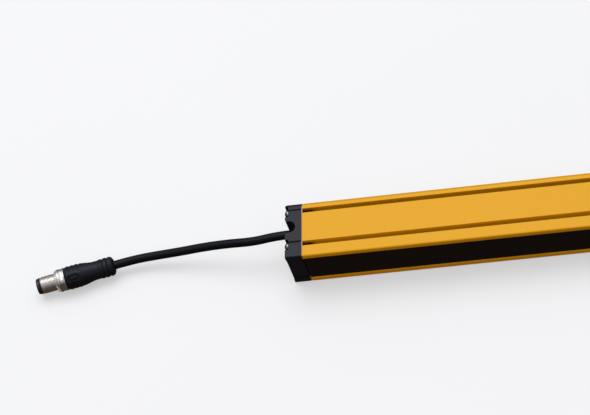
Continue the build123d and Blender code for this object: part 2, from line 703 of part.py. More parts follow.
with BuildPart() as connector_o_ring:
    with BuildSketch(PLUG_SECTION):
        with Locations((53.95, 5.56)):
            Circle(0.34)
    revolve(axis=PLUG_AXIS, revolution_arc=360)
connector_o_ring.part.label = "connector_o_ring"
export_step(connector_o_ring.part, "parts/connector_o_ring.step")

NUT_AF = 14.8
FLANGE_1, CROWN_0, TEETH_0 = 36.5, 38.8, 40.1
TEETH = 36
with BuildPart() as coupling_nut:
    # flange at the rear
    with BuildSketch(PLUG_SECTION):
        with BuildLine():
            Polyline((NUT_0, 0.0), (NUT_0, HEX_R - 0.3), (NUT_0 + 0.3, HEX_R), (FLANGE_1, HEX_R), (FLANGE_1, 0.0), close=True)
        make_face()
    revolve(axis=PLUG_AXIS, revolution_arc=360)
    # hexagon, turned round at its corners
    with BuildSketch(plug_plane(FLANGE_1 - 0.1)):
        RegularPolygon(radius=NUT_AF / 2, side_count=6, major_radius=False, rotation=17.4)
        Circle(HEX_R - 0.05, mode=Mode.INTERSECT)
    extrude(amount=CROWN_0 + 0.2 - FLANGE_1)
    # crown with a coned front, and the threaded barrel
    with BuildSketch(PLUG_SECTION):
        with BuildLine():
            Polyline((CROWN_0, 0.0), (CROWN_0, 7.2), (CROWN_0 + 0.25, 7.2), (CROWN_0 + 0.25, HEX_R), (TEETH_0, HEX_R), (HEX_1, 7.25),
                     (HEX_1, 6.6), (HEX_1 + 0.4, THREAD_R), (NUT_1 - 0.6, THREAD_R), (NUT_1, 5.4), (NUT_1, 0.0), close=True)
        make_face()
    revolve(axis=PLUG_AXIS, revolution_arc=360)
    # bore
    with BuildSketch(plug_plane(NUT_0)):
        Circle(4.6)
    extrude(amount=NUT_1 - NUT_0, mode=Mode.SUBTRACT)
    # teeth round the cone
    with BuildSketch(plug_plane(TEETH_0 + 0.1)):
        with PolarLocations(7.7, TEETH):
            Rectangle(1.5, 0.66)
    extrude(amount=2.4, mode=Mode.SUBTRACT)
coupling_nut.part.label = "coupling_nut"
export_step(coupling_nut.part, "parts/coupling_nut.step")

# ---------------------------------------------------------------------------
# cord from the gland to the plug
# ---------------------------------------------------------------------------
CORD_POINTS = [
    Vector(X_GO, U_Y, EXIT_Z),
    Vector(-192.0, U_Y, EXIT_Z),
    Vector(-208.5, -0.7, 24.1),
    Vector(-226.5, 1.7, 20.9),
    Vector(-245.0, 3.5, 16.9),
    Vector(-263.5, 4.1, 13.0),
    Vector(-281.4, 4.8, 9.9),
    PLUG_O - AX * 14.6,
    PLUG_O,
]
radii = []
for i in range(1, len(CORD_POINTS) - 1):
    a = CORD_POINTS[i] - CORD_POINTS[i - 1]
    b = CORD_POINTS[i + 1] - CORD_POINTS[i]
    half = radians(a.get_angle(b)) / 2
    radii.append(0.45 * min(a.length, b.length) / tan(half))
print("cord runs", [round((CORD_POINTS[i + 1] - CORD_POINTS[i]).length, 1) for i in range(len(CORD_POINTS) - 1)])
print("cord radii", [round(r, 1) for r in radii])

with BuildPart() as pigtail_cord:
    with BuildLine() as cord_path:
        FilletPolyline(*CORD_POINTS, radius=radii)
    with BuildSketch(Plane(origin=CORD_POINTS[0], x_dir=(0, 0, 1), z_dir=CORD_POINTS[1] - CORD_POINTS[0])):
        Circle(CORD_D / 2)
    sweep(path=cord_path.wires()[0])
pigtail_cord.part.label = "pigtail_cord"
export_step(pigtail_cord.part, "parts/pigtail_cord.step")
cord_len = cord_path.wires()[0].length
print("cord length", round(cord_len, 2), "volume", round(pigtail_cord.part.volume, 1),
      "section x length", round(pi * CORD_D ** 2 / 4 * cord_len, 1))
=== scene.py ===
import bpy
import bmesh
from math import sin, cos, tan, pi, radians, atan2, sqrt
from mathutils import Vector, Matrix


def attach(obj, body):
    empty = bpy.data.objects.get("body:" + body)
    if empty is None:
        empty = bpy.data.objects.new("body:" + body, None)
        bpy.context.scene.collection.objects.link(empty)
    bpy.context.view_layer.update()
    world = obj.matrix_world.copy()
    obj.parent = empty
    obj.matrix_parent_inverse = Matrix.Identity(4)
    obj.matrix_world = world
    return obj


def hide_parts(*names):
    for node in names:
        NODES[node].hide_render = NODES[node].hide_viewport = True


# ---------------------------------------------------------------------------
# Safety light curtain bar with a pigtail and a round plug.
# Metres. X runs along the bar, the window faces -Y, Z is up.
# ---------------------------------------------------------------------------
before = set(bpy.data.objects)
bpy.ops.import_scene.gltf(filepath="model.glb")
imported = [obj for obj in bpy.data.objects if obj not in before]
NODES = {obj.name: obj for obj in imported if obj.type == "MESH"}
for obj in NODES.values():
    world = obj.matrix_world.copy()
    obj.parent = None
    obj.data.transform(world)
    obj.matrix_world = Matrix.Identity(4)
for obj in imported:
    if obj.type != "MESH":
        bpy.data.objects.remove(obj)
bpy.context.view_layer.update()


MM = 0.001
scene = bpy.context.scene

# ---------------------------------------------------------------------------
# camera at the photograph's angle
# ---------------------------------------------------------------------------
AZ, EL, ROLL = radians(19.323), radians(57.2105), radians(-22.5412)
look = -Vector((sin(AZ) * cos(EL), -cos(AZ) * cos(EL), sin(EL)))
level = look.cross(Vector((0, 0, 1))).normalized()
above = level.cross(look)
cam_x = level * cos(ROLL) + above * sin(ROLL)
cam_y = above * cos(ROLL) - level * sin(ROLL)
cam_p = Vector((0.13224, -0.86678, 1.48734)) + cam_y * 0.00022
cam_data = bpy.data.cameras.new("camera")
cam = bpy.data.objects.new("camera", cam_data)
scene.collection.objects.link(cam)
cam.matrix_world = Matrix(
    (
        (cam_x.x, cam_y.x, -look.x, cam_p.x),
        (cam_x.y, cam_y.y, -look.y, cam_p.y),
        (cam_x.z, cam_y.z, -look.z, cam_p.z),
        (0, 0, 0, 1),
    )
)
cam_data.sensor_fit = "HORIZONTAL"
cam_data.sensor_width = 36.0
cam_data.lens = 2536.35 / 590 * 36.0
cam_data.clip_start = 0.02
cam_data.clip_end = 60
scene.camera = cam

# ---------------------------------------------------------------------------
# cord, from the gland down to the ground and into the plug
# ---------------------------------------------------------------------------
YAW = radians(11.4)
AX = Vector((-cos(YAW), -sin(YAW), 0))          # from the cord towards the pins
SIDE = Vector((sin(YAW), -cos(YAW), 0))
UP = Vector((0, 0, 1))
PLUG_O = Vector((-0.3115, 0.0015, 0.0083))      # rear end of the grip
CORD_D = 0.0061
CORD_POINTS = [
    Vector((-0.1779, 0.0012, 0.0253)),
    Vector((-0.1920, 0.0012, 0.0253)),
    Vector((-0.2085, -0.0007, 0.0241)),
    Vector((-0.2265, 0.0017, 0.0209)),
    Vector((-0.2450, 0.0035, 0.0169)),
    Vector((-0.2635, 0.0041, 0.0130)),
    Vector((-0.2814, 0.0048, 0.0099)),
    PLUG_O - AX * 0.0146,
    PLUG_O,
]
cord_curve = bpy.data.curves.new("cord_jacket_line", "CURVE")
cord_curve.dimensions = "3D"
cord_line = cord_curve.splines.new("NURBS")
cord_line.points.add(len(CORD_POINTS) - 1)
for i, p in enumerate(CORD_POINTS):
    cord_line.points[i].co = (*p, 1.0)
cord_line.order_u = 3
cord_line.use_endpoint_u = True
cord_line.resolution_u = 14
cord_curve.bevel_depth = CORD_D / 2
cord_curve.bevel_resolution = 10
cord_curve.use_fill_caps = True
cord_jacket = bpy.data.objects.new("cord_jacket", cord_curve)
scene.collection.objects.link(cord_jacket)


# ---------------------------------------------------------------------------
# materials
# ---------------------------------------------------------------------------
def lin(r, g, b):
    out = []
    for c in (r, g, b):
        c = c / 255
        out.append(c / 12.92 if c <= 0.04045 else ((c + 0.055) / 1.055) ** 2.4)
    return (*out, 1.0)


def surface(name, light, dark, mottle=300.0, rough=(0.4, 0.5), rough_scale=900.0, grain=2500.0, grain_depth=0.00002,
            grain_strength=0.4, spots=None, recess=None, **constant):
    """moulded, painted or plated finish: two close colours mottled together, a roughness that varies and a fine grain"""
    m = bpy.data.materials.new(name)
    m.use_nodes = True
    nt = m.node_tree
    nt.nodes.clear()
    out = nt.nodes.new("ShaderNodeOutputMaterial")
    bsdf = nt.nodes.new("ShaderNodeBsdfPrincipled")
    nt.links.new(bsdf.outputs["BSDF"], out.inputs["Surface"])
    for k, v in constant.items():
        bsdf.inputs[k.replace("_", " ")].default_value = v
    co = nt.nodes.new("ShaderNodeTexCoord").outputs["Object"]

    def noise(scale, detail=3.0):
        n = nt.nodes.new("ShaderNodeTexNoise")
        n.inputs["Scale"].default_value = scale
        n.inputs["Detail"].default_value = detail
        nt.links.new(co, n.inputs["Vector"])
        return n.outputs["Fac"]

    mix = nt.nodes.new("ShaderNodeMix")
    mix.data_type = "RGBA"
    mix.inputs["A"].default_value = dark
    mix.inputs["B"].default_value = light
    wide = nt.nodes.new("ShaderNodeMapRange")
    wide.inputs["From Min"].default_value = 0.34
    wide.inputs["From Max"].default_value = 0.66
    nt.links.new(noise(mottle), wide.inputs["Value"])
    nt.links.new(wide.outputs["Result"], mix.inputs["Factor"])
    colour = mix.outputs["Result"]
    if spots:
        scale, low, high, tint = spots
        cells = noise(scale, 1.0)
        r = nt.nodes.new("ShaderNodeMapRange")
        r.inputs["From Min"].default_value = low
        r.inputs["From Max"].default_value = high
        nt.links.new(cells, r.inputs["Value"])
        s = nt.nodes.new("ShaderNodeMix")
        s.data_type = "RGBA"
        nt.links.new(r.outputs["Result"], s.inputs["Factor"])
        nt.links.new(colour, s.inputs["A"])
        s.inputs["B"].default_value = tint
        colour = s.outputs["Result"]
    # painted shade: where the per-point recess attribute is set, the colour shifts towards the given recess colour
    if recess:
        depth = nt.nodes.new("ShaderNodeAttribute")
        depth.attribute_name = "recess"
        s = nt.nodes.new("ShaderNodeMix")
        s.data_type = "RGBA"
        nt.links.new(depth.outputs["Fac"], s.inputs["Factor"])
        nt.links.new(colour, s.inputs["A"])
        s.inputs["B"].default_value = recess
        colour = s.outputs["Result"]
    nt.links.new(colour, bsdf.inputs["Base Color"])
    r = nt.nodes.new("ShaderNodeMapRange")
    r.inputs["From Min"].default_value = 0.3
    r.inputs["From Max"].default_value = 0.7
    r.inputs["To Min"].default_value = rough[0]
    r.inputs["To Max"].default_value = rough[1]
    nt.links.new(noise(rough_scale), r.inputs["Value"])
    nt.links.new(r.outputs["Result"], bsdf.inputs["Roughness"])
    bump = nt.nodes.new("ShaderNodeBump")
    bump.inputs["Strength"].default_value = grain_strength
    bump.inputs["Distance"].default_value = grain_depth
    nt.links.new(noise(grain, 2.0), bump.inputs["Height"])
    nt.links.new(bump.outputs["Normal"], bsdf.inputs["Normal"])
    return m


MAT = {
    # powder coat: fine orange peel and the odd darker grain, with painted shade making it browner down in the grooves
    "yellow_paint": surface("yellow_powder_coat", (0.852, 0.398, 0.0026, 1), (0.816, 0.374, 0.0018, 1), mottle=1500, rough=(0.42, 0.52),
                            grain=1700, grain_depth=0.00003, grain_strength=0.4,
                            spots=(2600.0, 0.68, 0.78, (0.62, 0.26, 0.002, 1)), recess=(0.5, 0.29, 0.0015, 1),
                            Specular_IOR_Level=0.22),
    "window_tint": surface("window_tinted_plastic", (0.0042, 0.002, 0.0018, 1), (0.0022, 0.0012, 0.0012, 1), mottle=900,
                           rough=(0.14, 0.2), rough_scale=400, grain=1600, grain_depth=0.000003, grain_strength=0.2,
                           Specular_IOR_Level=0.24),
    "cap_plastic": surface("cap_moulded_plastic", (0.0074, 0.0094, 0.0168, 1), (0.006, 0.008, 0.0145, 1), mottle=2600, rough=(0.42, 0.54),
                           rough_scale=2200, grain=3600, grain_depth=0.00003, grain_strength=0.5, Specular_IOR_Level=0.27),
    "gasket_rubber": surface("gasket_foam", lin(158, 152, 142), lin(138, 132, 123), mottle=1800, rough=(0.7, 0.85),
                             grain=5000, grain_depth=0.00005, grain_strength=0.7),
    # painted shade: the near-black recess colour on the steel thread down in the grooves behind the caps
    "screw_steel": surface("screw_dark_steel", lin(150, 138, 128), lin(126, 114, 105), mottle=2600, rough=(0.22, 0.32),
                           grain=6000, grain_depth=0.000006, recess=(0.016, 0.0135, 0.0115, 1), Metallic=1.0),
    "screw_zinc": surface("screw_bright_zinc", lin(226, 230, 234), lin(208, 213, 218), mottle=2600, rough=(0.2, 0.3),
                          grain=6000, grain_depth=0.000006, Metallic=1.0),
    "cord_jacket": surface("cord_jacket_rubber", (0.0044, 0.005, 0.0078, 1), (0.0034, 0.004, 0.0064, 1), mottle=1800, rough=(0.36, 0.46),
                           rough_scale=1600, grain=2600, grain_depth=0.00002, grain_strength=0.35, Specular_IOR_Level=0.13),
    # painted shade: the darker recess colour on the floor of the thumb mark
    "plug_overmould": surface("plug_overmould_rubber", (0.0072, 0.0082, 0.0136, 1), (0.0058, 0.0068, 0.0114, 1), mottle=2400,
                              rough=(0.4, 0.5), rough_scale=2000, grain=3400, grain_depth=0.00003, grain_strength=0.45,
                              recess=(0.0022, 0.0023, 0.0036, 1), Specular_IOR_Level=0.22),
    "nickel": surface("nickel_plating", lin(228, 221, 213), lin(219, 211, 202), mottle=1400, rough=(0.34, 0.42),
                      grain=4000, grain_depth=0.000006, Metallic=1.0),
    "insert_black": surface("insert_moulded_plastic", (0.0085, 0.0085, 0.009, 1), (0.0068, 0.0068, 0.0072, 1), mottle=2400,
                            rough=(0.34, 0.44), grain=3000, grain_depth=0.00001),
    "gold_plate": surface("gold_plating", lin(226, 184, 96), lin(206, 162, 74), mottle=2000, rough=(0.2, 0.3),
                          grain=6000, grain_depth=0.000004, Metallic=1.0),
    "o_ring_rubber": surface("o_ring_rubber", lin(20, 20, 20), lin(15, 15, 15), mottle=2000, rough=(0.5, 0.6), grain=5000),
    "board_green": surface("board_green", lin(30, 92, 52), lin(22, 76, 42), mottle=500, rough=(0.35, 0.45), grain=2500),
    "chip_black": surface("chip_plastic", lin(34, 34, 36), lin(28, 28, 30), mottle=2500, rough=(0.5, 0.6), grain=5000),
    "lamp_white": surface("lamp_body", lin(238, 236, 226), lin(228, 226, 214), mottle=1500, rough=(0.35, 0.45), grain=4000),
    "reflector_white": surface("reflector_plastic", lin(240, 240, 238), lin(232, 232, 230), mottle=800, rough=(0.4, 0.5), grain=3000),
    "foam_black": surface("bonding_strip", lin(28, 28, 28), lin(20, 20, 20), mottle=3000, rough=(0.8, 0.9), grain=5000,
                          grain_depth=0.00006, grain_strength=0.8),
    "can_aluminium": surface("capacitor_can", lin(196, 198, 202), lin(180, 182, 188), mottle=1200, rough=(0.3, 0.4),
                             grain=4000, Metallic=1.0),
    "header_white": surface("header_plastic", lin(232, 228, 214), lin(222, 218, 204), mottle=1200, rough=(0.4, 0.5), grain=3500),
    "header_black": surface("header_plastic_black", lin(30, 30, 31), lin(24, 24, 25), mottle=1200, rough=(0.4, 0.5), grain=3500),
    "clamp_steel": surface("clamp_steel", lin(186, 186, 186), lin(166, 166, 166), mottle=1500, rough=(0.3, 0.4), grain=4000, Metallic=1.0),
    "wire_brown": surface("wire_brown", lin(104, 60, 34), lin(92, 52, 30), mottle=1500, rough=(0.4, 0.5), grain=4000),
    "wire_white": surface("wire_white", lin(232, 232, 228), lin(222, 222, 218), mottle=1500, rough=(0.4, 0.5), grain=4000),
    "wire_blue": surface("wire_blue", lin(36, 84, 168), lin(30, 74, 152), mottle=1500, rough=(0.4, 0.5), grain=4000),
    "wire_black": surface("wire_black", lin(26, 26, 27), lin(20, 20, 21), mottle=1500, rough=(0.4, 0.5), grain=4000),
    "wire_grey": surface("wire_grey", lin(136, 138, 140), lin(124, 126, 128), mottle=1500, rough=(0.4, 0.5), grain=4000),
    "wire_red": surface("wire_red", lin(176, 32, 28), lin(160, 28, 24), mottle=1500, rough=(0.4, 0.5), grain=4000),
    "diode_dark": surface("diode_plastic", lin(40, 30, 34), lin(32, 24, 28), mottle=2500, rough=(0.2, 0.3), grain=5000),
    "lens_clear": surface("lens_plastic", lin(226, 232, 236), lin(216, 224, 228), mottle=700, rough=(0.08, 0.14), grain=3000,
                          grain_depth=0.000003, Transmission_Weight=0.9, IOR=1.49),
    "lamp_clear": surface("lamp_cap_clear_plastic", (0.88, 0.91, 0.96, 1), (0.84, 0.87, 0.93, 1), mottle=700, rough=(0.14, 0.22),
                          rough_scale=600, grain=2200, grain_depth=0.000008, Transmission_Weight=0.6, IOR=1.46),
}
for o in NODES.values():
    for s in o.material_slots:
        if s.material is None:
            continue
        base = s.material.name.split(".")[0]
        if base in MAT:
            s.material = MAT[base]
        else:
            print("slot without a finish:", o.name, s.material.name)


# ---------------------------------------------------------------------------
# mesh helpers
# ---------------------------------------------------------------------------
def piece(name, bm, mat, body="root", replaces=(), sharp=32, weighted=False):
    bmesh.ops.recalc_face_normals(bm, faces=bm.faces)
    me = bpy.data.meshes.new(name)
    bm.to_mesh(me)
    bm.free()
    return piece_of(name, me, mat, body, replaces, sharp, weighted)


def piece_of(name, me, mat, body="root", replaces=(), sharp=32, weighted=False):
    me.polygons.foreach_set("use_smooth", [True] * len(me.polygons))
    me.set_sharp_from_angle(angle=radians(sharp))
    me.materials.clear()
    me.materials.append(MAT[mat])
    ob = bpy.data.objects.new(name, me)
    scene.collection.objects.link(ob)
    if weighted:
        w = ob.modifiers.new("normals", "WEIGHTED_NORMAL")
        w.keep_sharp = True
        w.weight = 80
    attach(ob, body)
    if replaces:
        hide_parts(*replaces)
    return ob


def rounded(points, seg=3):
    """closed outline of (y, z, radius) corners, with each corner rounded"""
    out = []
    n = len(points)
    for i, (y, z, r) in enumerate(points):
        p = Vector((y, z))
        if r <= 0:
            out.append(p)
            continue
        a = (Vector(points[i - 1][:2]) - p).normalized()
        b = (Vector(points[(i + 1) % n][:2]) - p).normalized()
        half = a.angle(b) / 2
        c = p + (a + b).normalized() * (r / sin(half))
        s, e = p + a * (r / tan(half)), p + b * (r / tan(half))
        a0 = atan2(s.y - c.y, s.x - c.x)
        a1 = atan2(e.y - c.y, e.x - c.x)
        d = (a1 - a0 + pi) % (2 * pi) - pi
        for k in range(seg + 1):
            q = a0 + d * k / seg
            out.append(c + Vector((cos(q), sin(q))) * r)
    return out


def arc(cy, cz, r, a0, a1, seg):
    """points of an arc, its two ends left out, as corners without rounding"""
    return [(cy + r * cos(radians(a0 + (a1 - a0) * k / seg)), cz + r * sin(radians(a0 + (a1 - a0) * k / seg)), 0)
            for k in range(1, seg)]


def extruded(outline, x0, x1, cuts=1):
    bm = bmesh.new()
    rows = []
    for i in range(cuts + 1):
        x = x0 + (x1 - x0) * i / cuts
        rows.append([bm.verts.new((x * MM, p.x * MM, p.y * MM)) for p in outline])
    n = len(outline)
    for a, b in zip(rows, rows[1:]):
        for k in range(n):
            bm.faces.new((a[k], a[(k + 1) % n], b[(k + 1) % n], b[k]))
    ends = [bm.faces.new(rows[0]), bm.faces.new(list(reversed(rows[-1])))]
    bmesh.ops.triangulate(bm, faces=ends)
    return bm


def turned(rows, seg, origin, axis, u, v, closed=False):
    """grid round an axis: rows are (t, radius or radius(angle)), in mm; open grids get a pole or a flat end"""
    bm = bmesh.new()
    grid = []
    for t, r in rows:
        ring = []
        for k in range(seg):
            a = 2 * pi * k / seg
            rad = r(a) if callable(r) else r
            ring.append(bm.verts.new(origin + axis * (t * MM) + (u * cos(a) + v * sin(a)) * (rad * MM)))
        grid.append(ring)
    pairs = list(zip(grid, grid[1:]))
    if closed:
        pairs.append((grid[-1], grid[0]))
    for a, b in pairs:
        for k in range(seg):
            j = (k + 1) % seg
            bm.faces.new((a[k], a[j], b[j], b[k]))
    if not closed:
        for ring, t in ((grid[0], rows[0][0]), (grid[-1], rows[-1][0])):
            c = bm.verts.new(origin + axis * (t * MM))
            for k in range(seg):
                bm.faces.new((ring[k], ring[(k + 1) % seg], c))
    return bm


def smooth(x):
    x = min(1.0, max(0.0, x))
    return x * x * (3 - 2 * x)


# ---------------------------------------------------------------------------
# extrusion with its small edge radii
# ---------------------------------------------------------------------------
ZM = 17.75
E = 0.28                      # radius of the painted edges
G_FRONT, G_REAR, G_R = -12.6, 13.05, 1.6      # screw grooves


def upper_half():
    """outer side of the section from the window's upper lip to the T-slot, z from the bar's middle"""
    t, c = ZM, ZM - 3.5
    o = [(-22.0, 12.95, 0.1), (-22.5, 13.8, 0.6), (-22.5, t, 1.2), (G_FRONT - G_R, t, E), (G_FRONT - G_R, c, 0)]
    o += arc(G_FRONT, c, G_R, 180, 360, 10)
    o += [(G_FRONT + G_R, c, 0), (G_FRONT + G_R, t - 2.0, 0.1), (G_FRONT + G_R + 0.2, t, 0.2), (G_REAR - G_R, t, E), (G_REAR - G_R, c, 0)]
    o += arc(G_REAR, c, G_R, 180, 360, 10)
    o += [(G_REAR + G_R, c, 0), (G_REAR + G_R, t, E), (17.1, t, 0.5), (20.9, t - 4.2, 0.5), (20.9, 4.7, 0.25), (19.1, 4.7, 0.15),
          (19.1, 7.2, 0.15), (15.8, 7.2, 0.3)]
    return o


def inner_half():
    """chamber side from the rear wall to the window seat"""
    return [(14.1, 10.7, 0.3), (9.8, 10.7, 0.15), (9.8, 15.5, 0.3), (8.0, 15.5, 0.1), (8.0, 13.9, 0.15), (6.8, 13.9, 0.15),
            (6.8, 15.5, 0.1), (-5.4, 15.5, 0.1), (-5.4, 13.9, 0.15), (-6.6, 13.9, 0.15), (-6.6, 15.5, 0.1), (-8.8, 15.5, 0.3),
            (-8.8, 10.7, 0.15), (-17.9, 10.7, 0.1), (-17.9, 10.05, 0.1), (-19.7, 10.05, 0.1), (-19.7, 12.95, 0.1)]


def mirrored(points):
    return [(y, -z, r) for y, z, r in reversed(points)]


section = upper_half() + mirrored(upper_half()) + mirrored(inner_half()) + inner_half()
section = [Vector((p.x, p.y + ZM)) for p in rounded(section)]
housing = piece("housing_painted_profile", extruded(section, -172.2, 172.2), "yellow_paint",
                replaces=["housing_profile"], sharp=40, weighted=True)
# painted shade: how deep each point lies in a screw groove, darkening the paint there
groove_shade = housing.data.attributes.new("recess", "FLOAT", "POINT")
for v in housing.data.vertices:
    y, z = v.co.y / MM, ZM - abs(v.co.z / MM - ZM)
    if z > 5.2 or z < 0.01:
        continue
    if abs(y - G_FRONT) < G_R + 0.1:
        groove_shade.data[v.index].value = 0.9 * smooth((z - 1.9) / 1.6)
    elif abs(y - G_REAR) < G_R + 0.1:
        groove_shade.data[v.index].value = smooth(z / 3.4)


# ---------------------------------------------------------------------------
# end caps with softened edges, from the CAD caps
# ---------------------------------------------------------------------------
def softened(node, name, mat, width, angle=40):
    src = NODES[node]
    bm = bmesh.new()
    bm.from_mesh(src.data)
    bmesh.ops.remove_doubles(bm, verts=bm.verts, dist=1e-6)
    bmesh.ops.dissolve_limit(bm, angle_limit=radians(0.6), verts=bm.verts, edges=bm.edges)
    me = bpy.data.meshes.new(name)
    bm.to_mesh(me)
    bm.free()
    ob = bpy.data.objects.new(name, me)
    scene.collection.objects.link(ob)
    b = ob.modifiers.new("edges", "BEVEL")
    b.width = width * MM
    b.segments = 2
    b.limit_method = "ANGLE"
    b.angle_limit = radians(angle)
    b.use_clamp_overlap = True
    b.miter_outer = "MITER_ARC"
    dg = bpy.context.evaluated_depsgraph_get()
    done = bpy.data.meshes.new_from_object(ob.evaluated_get(dg))
    bpy.data.objects.remove(ob)
    return piece_of(name, done, mat, replaces=[node], sharp=40, weighted=True)


cord_cap = softened("pigtail_end_cap", "pigtail_end_cap_moulded", "cap_plastic", 0.3)
lamp_cap = softened("lamp_end_cap", "lamp_end_cap_moulded", "lamp_clear", 0.22)


# ---------------------------------------------------------------------------
# cap screws: pan head with a cross recess, rolled thread on the shank
# ---------------------------------------------------------------------------
def screw_mesh():
    """one screw, seat at the origin, head towards +X, thread towards -X, in metres"""
    rows = [(-18.2, 0.35), (-18.0, 0.5)]
    pitch, crest, root = 0.9, 1.57, 1.14
    n = 12
    t0, t1 = -17.8, -0.9
    count = int((t1 - t0) / pitch * n)

    def thread(t):
        grow = smooth((t - t0) / 2.6)
        end = smooth((t1 - t) / 0.9)

        def r(a):
            ph = ((t / pitch) + a / (2 * pi)) % 1.0
            k = 1 - abs(ph - 0.5) * 2          # 1 at the crest
            k = min(1.0, k * 1.18)
            return (root + (crest - root) * k * min(1, end + 0.05)) * (0.36 + 0.64 * grow)

        return r

    for i in range(count + 1):
        t = t0 + (t1 - t0) * i / count
        rows.append((t, thread(t)))
    rows += [(-0.55, 1.3), (-0.12, 1.42), (0.0, 1.6), (0.0, 2.62), (0.12, 2.84), (0.3, 2.9), (1.0, 2.9), (1.22, 2.84),
             (1.5, 2.7), (1.85, 2.46), (2.2, 2.1), (2.5, 1.7), (2.75, 1.22), (2.9, 0.75), (2.98, 0.35)]
    bm = turned(rows, 32, Vector((0, 0, 0)), Vector((1, 0, 0)), Vector((0, 1, 0)), Vector((0, 0, 1)))
    bmesh.ops.recalc_face_normals(bm, faces=bm.faces)
    me = bpy.data.meshes.new("screw_blank")
    bm.to_mesh(me)
    bm.free()
    ob = bpy.data.objects.new("screw_blank", me)
    scene.collection.objects.link(ob)
    # cross recess
    cb = bmesh.new()
    rings = []
    for t, w, l in ((1.35, 0.34, 0.9), (3.4, 0.46, 1.62)):
        outline = []
        for q in range(4):
            a = radians(45 + 90 * q)
            d, s = Vector((0, cos(a), sin(a))), Vector((0, -sin(a), cos(a)))
            outline += [d * w + s * (-w), d * l + s * (-w), d * l + s * w]
        rings.append([cb.verts.new((Vector((t, 0, 0)) + p) * MM) for p in outline])
    k = len(rings[0])
    for j in range(k):
        cb.faces.new((rings[0][j], rings[0][(j + 1) % k], rings[1][(j + 1) % k], rings[1][j]))
    cb.faces.new(list(reversed(rings[0])))
    cb.faces.new(rings[1])
    bmesh.ops.recalc_face_normals(cb, faces=cb.faces)
    cm = bpy.data.meshes.new("recess")
    cb.to_mesh(cm)
    cb.free()
    cutter = bpy.data.objects.new("recess", cm)
    scene.collection.objects.link(cutter)
    mod = ob.modifiers.new("recess", "BOOLEAN")
    mod.operation = "DIFFERENCE"
    mod.solver = "EXACT"
    mod.object = cutter
    dg = bpy.context.evaluated_depsgraph_get()
    done = bpy.data.meshes.new_from_object(ob.evaluated_get(dg))
    bpy.data.objects.remove(ob)
    bpy.data.objects.remove(cutter)
    return done


one_screw = screw_mesh()
SCREW_YZ = [(y, z) for y in (G_FRONT, G_REAR) for z in (3.5, 32.0)]
for name, node, s, mat in (("pigtail_cap_screws_threaded", "pigtail_cap_screws", -1, "screw_steel"),
                           ("lamp_cap_screws_threaded", "lamp_cap_screws", 1, "screw_zinc")):
    bm = bmesh.new()
    for i, (y, z) in enumerate(SCREW_YZ):
        part = one_screw.copy()
        turn = Matrix.Rotation(radians((17, 64, 38, 81)[i]), 4, "X")
        if s < 0:
            turn = Matrix.Rotation(pi, 4, "Z") @ turn
        part.transform(Matrix.Translation(Vector((s * 182.0, y, z)) * MM) @ turn)
        bm.from_mesh(part)
        bpy.data.meshes.remove(part)
    screws = piece(name, bm, mat, replaces=[node], sharp=30)
    # painted shade: the thread behind the caps, down in the grooves, marked for the steel finish's near-black colour
    thread_shade = screws.data.attributes.new("recess", "FLOAT", "POINT")
    for v in screws.data.vertices:
        if abs(v.co.x) / MM < 181.7:
            thread_shade.data[v.index].value = 1.0
bpy.data.meshes.remove(one_screw)


# ---------------------------------------------------------------------------
# plug: overmoulded grip
# ---------------------------------------------------------------------------
def along(points, t):
    """smooth curve through (t, r) points"""
    for (t0, r0), (t1, r1) in zip(points, points[1:]):
        if t <= t1:
            return r0 + (r1 - r0) * smooth((t - t0) / (t1 - t0))
    return points[-1][1]


GRIP_R = 8.25
GRIP = [(0.0, 4.5), (0.35, 5.35), (1.0, 6.25), (2.2, 6.78), (3.4, 6.85), (4.25, 6.22), (5.1, 6.85), (6.8, 6.88), (7.6, 6.28), (8.5, 6.86),
        (9.9, 6.8), (11.0, 6.46), (13.0, 6.48)]
BODY = [(13.0, 6.48), (15.5, 6.56), (18.5, 7.05), (20.5, 7.48), (22.5, 7.85), (25.0, 8.15), (27.0, GRIP_R)]


def lerp(points, t):
    for (t0, r0), (t1, r1) in zip(points, points[1:]):
        if t <= t1:
            return r0 + (r1 - r0) * (t - t0) / (t1 - t0)
    return points[-1][1]


MARK_A = radians(52)
MARK_T = 29.0


def grip_radius(t):
    if t <= 13.0:
        base = along(GRIP, t)
    elif t <= 27.0:
        base = lerp(BODY, t)
    elif t <= 33.6:
        base = GRIP_R
    else:
        base = GRIP_R - 0.7 * smooth((t - 33.6) / 1.4)

    def r(a):
        # ring ridges near the nut, faded out round the thumb mark
        out = base
        d = (a - MARK_A + pi) % (2 * pi) - pi
        e = sqrt(((t - MARK_T) / 6.4) ** 2 + (GRIP_R * sin(d) / 4.9) ** 2) if abs(d) < pi / 2 else 9.0
        ring = smooth((t - 21.2) / 1.4) * smooth((34.4 - t) / 0.9)
        ph = ((t - 23.0) / 3.2 + 0.5) % 1.0              # 0.5 on a crest
        valley = smooth((abs(ph - 0.5) - 0.16) / 0.24)
        low = smooth((sin(a) + 0.75) / 0.6)              # fainter under the plug
        out -= (0.16 + 0.2 * low) * valley * ring * smooth((e - 1.0) / 0.16)
        if abs(d) < 1.2:
            f = sqrt(((t - MARK_T) / 4.5) ** 2 + (GRIP_R * sin(d) / 3.2) ** 2)
            flat = (GRIP_R - 0.5) / cos(d)
            w = smooth((1.1 - f) / 0.12)
            out = out * (1 - w) + min(flat, out) * w
            g = sqrt(((t - MARK_T) / 2.6) ** 2 + (GRIP_R * sin(d) / 1.3) ** 2)
            out += 0.26 * smooth((1.12 - g) / 0.3)
        return out

    return r


ts = [0.0, 0.12, 0.35, 0.7]
t = 1.0
while t < 34.9:
    ts.append(round(t, 3))
    t += 0.19
ts += [34.9, 35.0]
rows = [(0.0, 3.1)] + [(t, grip_radius(t)) for t in ts] + [(35.0, 4.6), (28.0, 4.6)]
grip = piece("connector_grip_ribbed", turned(rows, 144, PLUG_O, AX, SIDE, UP), "plug_overmould",
             replaces=["connector_grip"], sharp=50)
